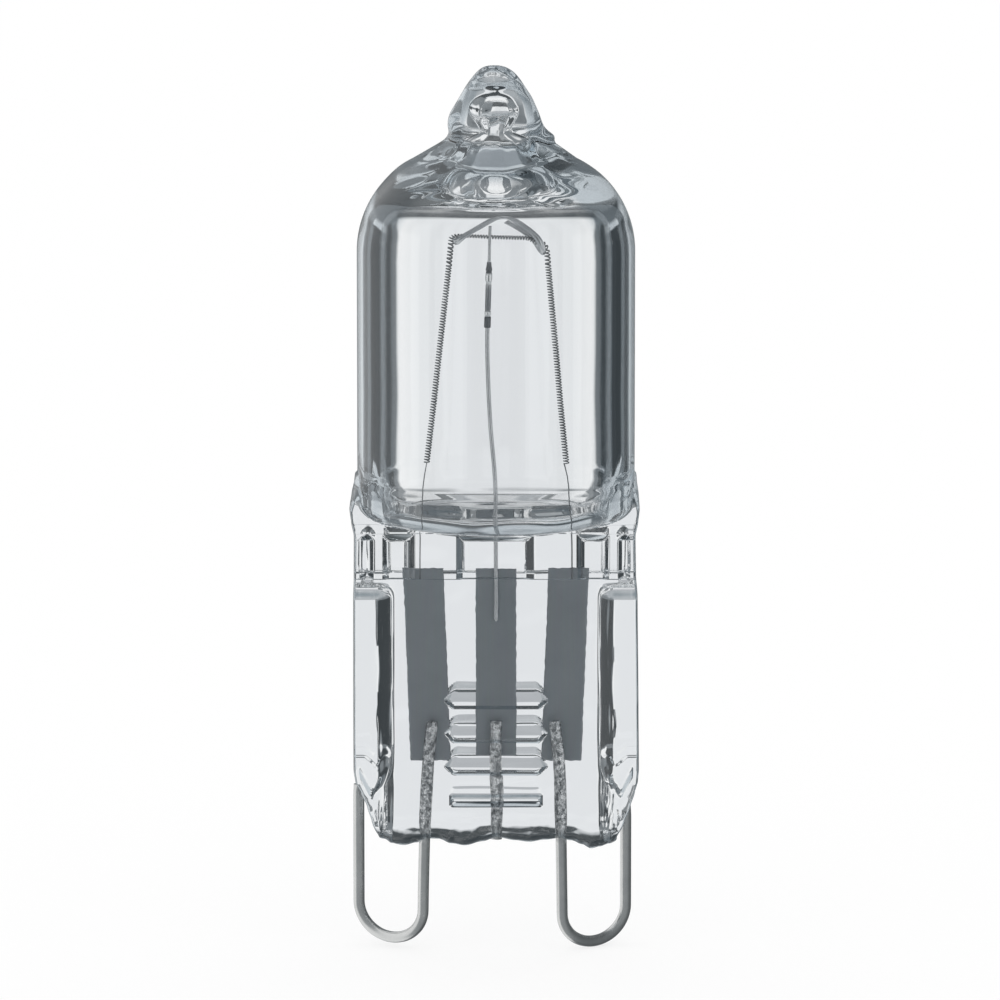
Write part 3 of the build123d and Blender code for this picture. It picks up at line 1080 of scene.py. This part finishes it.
around = node(tree, "ShaderNodeMath", {0: turn.outputs[0]}, operation="ABSOLUTE")


def window(value, low, high, soft):
    """1 where a node's angle lies between two in degrees, 0 outside, with soft ends."""
    rising = node(
        tree,
        "ShaderNodeMapRange",
        {"Value": value.outputs[0], "From Min": radians(low), "From Max": radians(low + soft)},
    )
    falling = node(
        tree,
        "ShaderNodeMapRange",
        {"Value": value.outputs[0], "From Min": radians(high), "From Max": radians(high - soft)},
    )
    return node(
        tree,
        "ShaderNodeMath",
        {0: rising.outputs[0], 1: falling.outputs[0]},
        operation="MULTIPLY",
    )


def card(behind, sides, heights, soft, code):
    """Paper of one grey hung in the studio, between two angles round and two up."""
    place = node(
        tree,
        "ShaderNodeMath",
        {0: window(around, *sides, soft).outputs[0], 1: window(rise, *heights, soft).outputs[0]},
        operation="MULTIPLY",
    )
    hung = node(
        tree,
        "ShaderNodeMix",
        {"Factor": place.outputs[0], 6: behind, 7: srgb(code)},
        data_type="RGBA",
    )
    return hung.outputs[2]


# Each card: degrees to either side of straight behind the lamp, degrees up from level, the
# width of its soft edge in degrees, and its grey.
seen = card(panel.outputs[0], (-9, 200), (-64, -20), 12, "A6ACB0")
seen = card(seen, (15, 64), (-11.5, -3), 1.5, "747A7E")
seen = card(seen, (17, 27), (-14, -3), 1.5, "3A3F42")
seen = card(seen, (33, 52), (-14, -3), 2, "44494C")
seen = card(seen, (-9, 200), (3, 200), 6, "7C8286")
seen = card(seen, (-9, 17), (7, 38), 3, "44494C")
seen = card(seen, (-9, 17), (36, 60), 4, "DDE1E4")
seen = card(seen, (155, 200), (-34, -4), 3, "44494C")
seen = card(seen, (-9, 17), (-31, -18.5), 2, "B2B6BA")
seen = card(seen, (-9, 200), (48, 200), 8, "F2F4F5")
seen = card(seen, (-9, 200), (-200, -50), 12, "E8EBED")
full_turn = node(
    tree,
    "ShaderNodeMapRange",
    {"Value": turn.outputs[0], "From Min": -pi, "From Max": pi},
)
room_shades = [
    (0, "979A9C"), (0.15, "A0A4A6"), (0.19, "FAFAFA"), (0.42, "FAFAFA"), (0.47, "8A8E90"),
    (0.5, "767A7C"), (0.65, "54585A"), (0.8, "6A6E70"), (0.9, "909496"), (1, "979A9C"),
]
room = node(tree, "ShaderNodeValToRGB", {0: full_turn.outputs[0]}, room_shades)
path = node(tree, "ShaderNodeLightPath")
mirrored = node(
    tree,
    "ShaderNodeMix",
    {"Factor": path.outputs["Is Glossy Ray"], 6: [1, 1, 1, 1], 7: room.outputs[0]},
    data_type="RGBA",
)
colour = node(
    tree,
    "ShaderNodeMix",
    {"Factor": path.outputs["Is Transmission Ray"], 6: mirrored.outputs[2], 7: seen},
    data_type="RGBA",
)
sky = node(tree, "ShaderNodeBackground", {"Color": colour.outputs[2], "Strength": 1.0})
tree.links.new(sky.outputs[0], output.inputs["Surface"])


# The camera stands a little above the lamp and square to its press, as in the photograph,
# and far enough away that the loops and the tip keep their true proportions.
distance = 350
elevation = radians(8.5)
target = Vector((0.195, 0, 22.18 + datum))
picture_pixels = 1000
pixels_per_mm = 20.52
camera_data = bpy.data.cameras.new("camera")
camera_data.sensor_width = 36
camera_data.lens = camera_data.sensor_width * distance * pixels_per_mm / picture_pixels
camera = bpy.data.objects.new("camera", camera_data)
camera.location = (target + distance * Vector((0, -cos(elevation), sin(elevation)))) * MM
camera.rotation_euler = (pi / 2 - elevation, 0, 0)
bpy.context.scene.collection.objects.link(camera)
bpy.context.scene.camera = camera
bpy.context.scene.view_settings.view_transform = "Standard"
